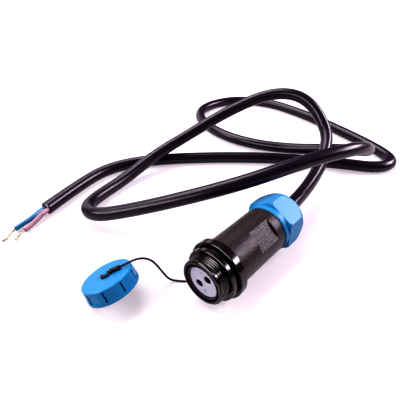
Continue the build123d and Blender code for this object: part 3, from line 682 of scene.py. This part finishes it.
class CONNECTOR_OT_lay_cable(bpy.types.Operator):
    """Lay the cable along its route, cut its jacket and bare its cores"""

    bl_idname = "connector.lay_cable"
    bl_label = "Lay cable"

    def execute(self, context):
        sizes = context.scene.connector_sizes
        end, before = Vector(CABLE_ROUTE[-1]), Vector(CABLE_ROUTE[-2])
        onward = (end - before).normalized()
        jacket_end = end - onward * MOUTH_LENGTH
        cable = route_curve("cable", [CABLE_ROUTE[:-1] + [tuple(jacket_end)]], sizes.cable_diameter, steps=16)
        settle(cable, "cable_black", "connector", "cable_jacket")

        radius = sizes.cable_diameter / MM / 2
        mouth = turn_outline("jacket_mouth", [
            (MOUTH_BORE, 0), (radius, 0), (radius, MOUTH_LENGTH - MOUTH_EDGE),
            (radius - MOUTH_EDGE, MOUTH_LENGTH), (MOUTH_BORE, MOUTH_LENGTH), (MOUTH_BORE, 0),
        ], CORD_END_STEPS)
        shade(mouth)
        filler = turn_outline("jacket_filler", [
            (0, FILLER_START), (MOUTH_BORE, FILLER_START), (MOUTH_BORE, MOUTH_LENGTH - MOUTH_DEPTH),
            (0, MOUTH_LENGTH - MOUTH_DEPTH * FILLER_CROWN),
        ], CORD_END_STEPS)
        shade(filler)
        at_end = axes_matrix(jacket_end, (0, 0, 1), onward)
        for piece, finish in ((mouth, "cable_black"), (filler, "filler_pale")):
            place(piece, at_end)
            settle(piece, finish, "connector")

        cores, conductors = [], []
        for name, route, bare_route in (
            ("blue", CORE_BLUE_ROUTE, STRANDS_BLUE_ROUTE), ("brown", CORE_BROWN_ROUTE, STRANDS_BROWN_ROUTE),
        ):
            core = route_curve("core_%s_dressed" % name, [route], sizes.core_diameter)
            settle(core, "core_" + name, "connector", "core_" + name)
            cores.append(core)
            conductors.append(self.twist_wires(name, spline_points(bare_route), sizes.wire_diameter))
        return {"FINISHED"}

    def twist_wires(self, name, line, diameter):
        """One wire along a line with others wound round it, a little looser towards the end."""
        lift, ring = Vector((0, 0, 1)), diameter / MM
        routes = [[tuple(point) for point in line]]
        for wire in range(WIRES_ROUND):
            route = []
            for place_on_line, point in enumerate(line):
                ahead = line[min(place_on_line + 1, len(line) - 1)] - line[max(place_on_line - 1, 0)]
                side = ahead.cross(lift).normalized()
                share = place_on_line / (len(line) - 1)
                turn = tau * (wire / WIRES_ROUND + share * WIRE_TWIST)
                offset = side * cos(turn) + side.cross(ahead).normalized() * sin(turn)
                route.append(tuple(point + offset * ring * (WIRE_SPACING + WIRE_SPLAY * share ** 3)))
            routes.append(route)
        bundle = route_curve("strands_%s_dressed" % name, routes, diameter, "POLY", sides=3)
        settle(bundle, "bare_wire", "connector", "strands_" + name)
        return bundle


class CONNECTOR_OT_hang_tether(bpy.types.Operator):
    """Run the lanyard from the connector to its crimped eye on the dust cap"""

    bl_idname = "connector.hang_tether"
    bl_label = "Hang lanyard"

    def execute(self, context):
        sizes = context.scene.connector_sizes
        tether = route_curve("tether", [TETHER_ROUTE], sizes.tether_diameter, sides=6)
        settle(tether, "tether_black", "connector", "tether_cord")

        section = [
            (EYE_RADIUS + EYE_WIDTH * cos(tau * side / EYE_SIDES),
             EYE_HEIGHT + EYE_THICKNESS * sin(tau * side / EYE_SIDES))
            for side in range(EYE_SIDES + 1)
        ]
        eye = turn_outline("lanyard_eye", section, EYE_STEPS)
        shade(eye)
        place(eye, cap_matrix())
        settle(eye, "tether_black", "connector", "tether_eye")

        cord = sizes.tether_diameter / MM / 2
        crimp = turn_outline("lanyard_crimp", [
            (0, EYE_RADIUS), (cord * CRIMP_FRONT, EYE_RADIUS), (CRIMP_RADIUS, CRIMP_START),
            *((CRIMP_RADIUS * wide, CRIMP_START + CRIMP_LENGTH * along) for wide, along in CRIMP_WAIST),
            (CRIMP_RADIUS, CRIMP_START + CRIMP_LENGTH - CRIMP_BACK_EDGE),
            (cord * CRIMP_BACK, CRIMP_START + CRIMP_LENGTH), (0, CRIMP_START + CRIMP_LENGTH),
        ], CORD_END_STEPS)
        soften(crimp, sizes.edge)
        along_tether = Matrix.Translation((0, CRIMP_HEIGHT * MM, 0)) @ Matrix.Rotation(-pi / 2, 4, "Z")
        place(crimp, cap_matrix() @ along_tether @ Matrix.Diagonal((1.0, 1.0, CRIMP_FLATNESS, 1.0)))
        settle(crimp, "tether_black", "connector", "tether_crimp")
        give_finish(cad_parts["tether_ring"], "tether_black")
        return {"FINISHED"}


class CONNECTOR_OT_finish_inside(bpy.types.Operator):
    """Finish the solids inside the connector"""

    bl_idname = "connector.finish_inside"
    bl_label = "Finish inside"

    def execute(self, context):
        for node, finish in (
            ("insert_retainer", "shell_black"), ("contact_one", "contact_brass"),
            ("contact_two", "contact_brass"), ("housing_seal", "seal_rubber"),
            ("gland_seal", "seal_rubber"), ("gland_collet", "collet_white"),
            ("lead_blue", "core_blue"), ("lead_brown", "core_brown"),
        ):
            give_finish(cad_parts[node], finish)
        return {"FINISHED"}


def glowing_paper(name, strength):
    """Matt pale paper with a faint glow of its own."""
    paper = moulded_finish(name, PAPER_COLOUR, **PAPER_FINISH)
    glow = paper.node_tree.nodes["Principled BSDF"].inputs
    glow["Emission Color"].default_value = (*PAPER_GLOW, 1.0)
    glow["Emission Strength"].default_value = strength
    return paper


class CONNECTOR_OT_set_stage(bpy.types.Operator):
    """Lay the floor, put up the backdrop, hang the studio lights and place the camera"""

    bl_idname = "connector.set_stage"
    bl_label = "Set stage"

    def execute(self, context):
        scene = context.scene
        bpy.ops.mesh.primitive_plane_add(size=FLOOR_SIZE)
        floor = context.object
        floor.name = "floor"
        place(floor, Matrix.Translation((0, 0, FLOOR * MM)))
        floor.data.materials.append(glowing_paper("floor_paper", FLOOR_GLOW_STRENGTH))
        floor.visible_diffuse = False  # no bounce light, so that undersides stay dark
        bpy.ops.mesh.primitive_cylinder_add(
            vertices=WALL_SIDES, radius=WALL_RADIUS, depth=WALL_HEIGHT, end_fill_type="NOTHING")
        wall = context.object
        wall.name = "backdrop"
        wall.data.materials.append(glowing_paper("wall_paper", WALL_GLOW_STRENGTH))
        bpy.ops.object.shade_smooth()
        wall.visible_diffuse = wall.visible_glossy = wall.visible_shadow = False  # only a background

        world = scene.world or bpy.data.worlds.new("studio")
        scene.world = world
        world.use_nodes = True
        sky = world.node_tree.nodes["Background"]
        sky.inputs["Color"].default_value = (*SKY_COLOUR, 1.0)
        sky.inputs["Strength"].default_value = SKY_STRENGTH
        middle = Vector(STAGE_MIDDLE)
        for name, direction, distance, size, power, colour in LIGHTS:
            lamp = bpy.data.lights.new(name, "AREA")
            lamp.color = colour
            lamp.shape = "RECTANGLE"
            lamp.size, lamp.size_y = size
            lamp.energy = power
            holder = bpy.data.objects.new(name, lamp)
            holder.location = middle + Vector(direction).normalized() * distance
            holder.rotation_euler = (middle - holder.location).to_track_quat("-Z", "Y").to_euler()
            scene.collection.objects.link(holder)

        lens = bpy.data.cameras.new("photo_camera")
        lens.lens = CAMERA_LENS
        lens.sensor_fit = "HORIZONTAL"
        lens.sensor_width = SENSOR_WIDTH
        camera = bpy.data.objects.new("photo_camera", lens)
        right, back = Vector(CAMERA_RIGHT).normalized(), -Vector(CAMERA_FORWARD).normalized()
        turn = Matrix((right, back.cross(right), back)).transposed().to_4x4()
        camera.matrix_world = Matrix.Translation(Vector(CAMERA_PLACE) * MM) @ turn
        scene.collection.objects.link(camera)
        scene.camera = camera
        scene.view_settings.view_transform = "Standard"
        scene.view_settings.look = "Very High Contrast"
        return {"FINISHED"}


class CONNECTOR_PT_pieces(bpy.types.Panel):
    """Lists the connector's steps in the sidebar"""

    bl_label = "Waterproof connector"
    bl_idname = "CONNECTOR_PT_pieces"
    bl_space_type = "VIEW_3D"
    bl_region_type = "UI"
    bl_category = "Connector"

    def draw(self, context):
        layout = self.layout
        for operator in OPERATORS:
            layout.operator(operator.bl_idname)
        for group in (context.scene.connector_sizes, context.scene.connector_colours):
            for name in group.__annotations__:
                layout.prop(group, name)


OPERATORS = (
    CONNECTOR_OT_turn_shell,
    CONNECTOR_OT_number_insert,
    CONNECTOR_OT_turn_housing,
    CONNECTOR_OT_shape_nut,
    CONNECTOR_OT_mould_cap,
    CONNECTOR_OT_lay_cable,
    CONNECTOR_OT_hang_tether,
    CONNECTOR_OT_finish_inside,
    CONNECTOR_OT_set_stage,
)
CLASSES = (ConnectorColours, ConnectorSizes, *OPERATORS, CONNECTOR_PT_pieces)


def register():
    """Register the classes and hang their properties on the scene."""
    for item in CLASSES:
        bpy.utils.register_class(item)
    bpy.types.Scene.connector_colours = PointerProperty(type=ConnectorColours)
    bpy.types.Scene.connector_sizes = PointerProperty(type=ConnectorSizes)


def unregister():
    """Take the properties and the classes away again."""
    del bpy.types.Scene.connector_sizes
    del bpy.types.Scene.connector_colours
    for item in reversed(CLASSES):
        bpy.utils.unregister_class(item)


def main():
    """Dress the connector and set the stage."""
    register()
    bpy.ops.connector.turn_shell()
    bpy.ops.connector.number_insert()
    bpy.ops.connector.turn_housing()
    bpy.ops.connector.shape_nut()
    bpy.ops.connector.mould_cap()
    bpy.ops.connector.lay_cable()
    bpy.ops.connector.hang_tether()
    bpy.ops.connector.finish_inside()
    bpy.ops.connector.set_stage()


if __name__ == "__main__":
    main()
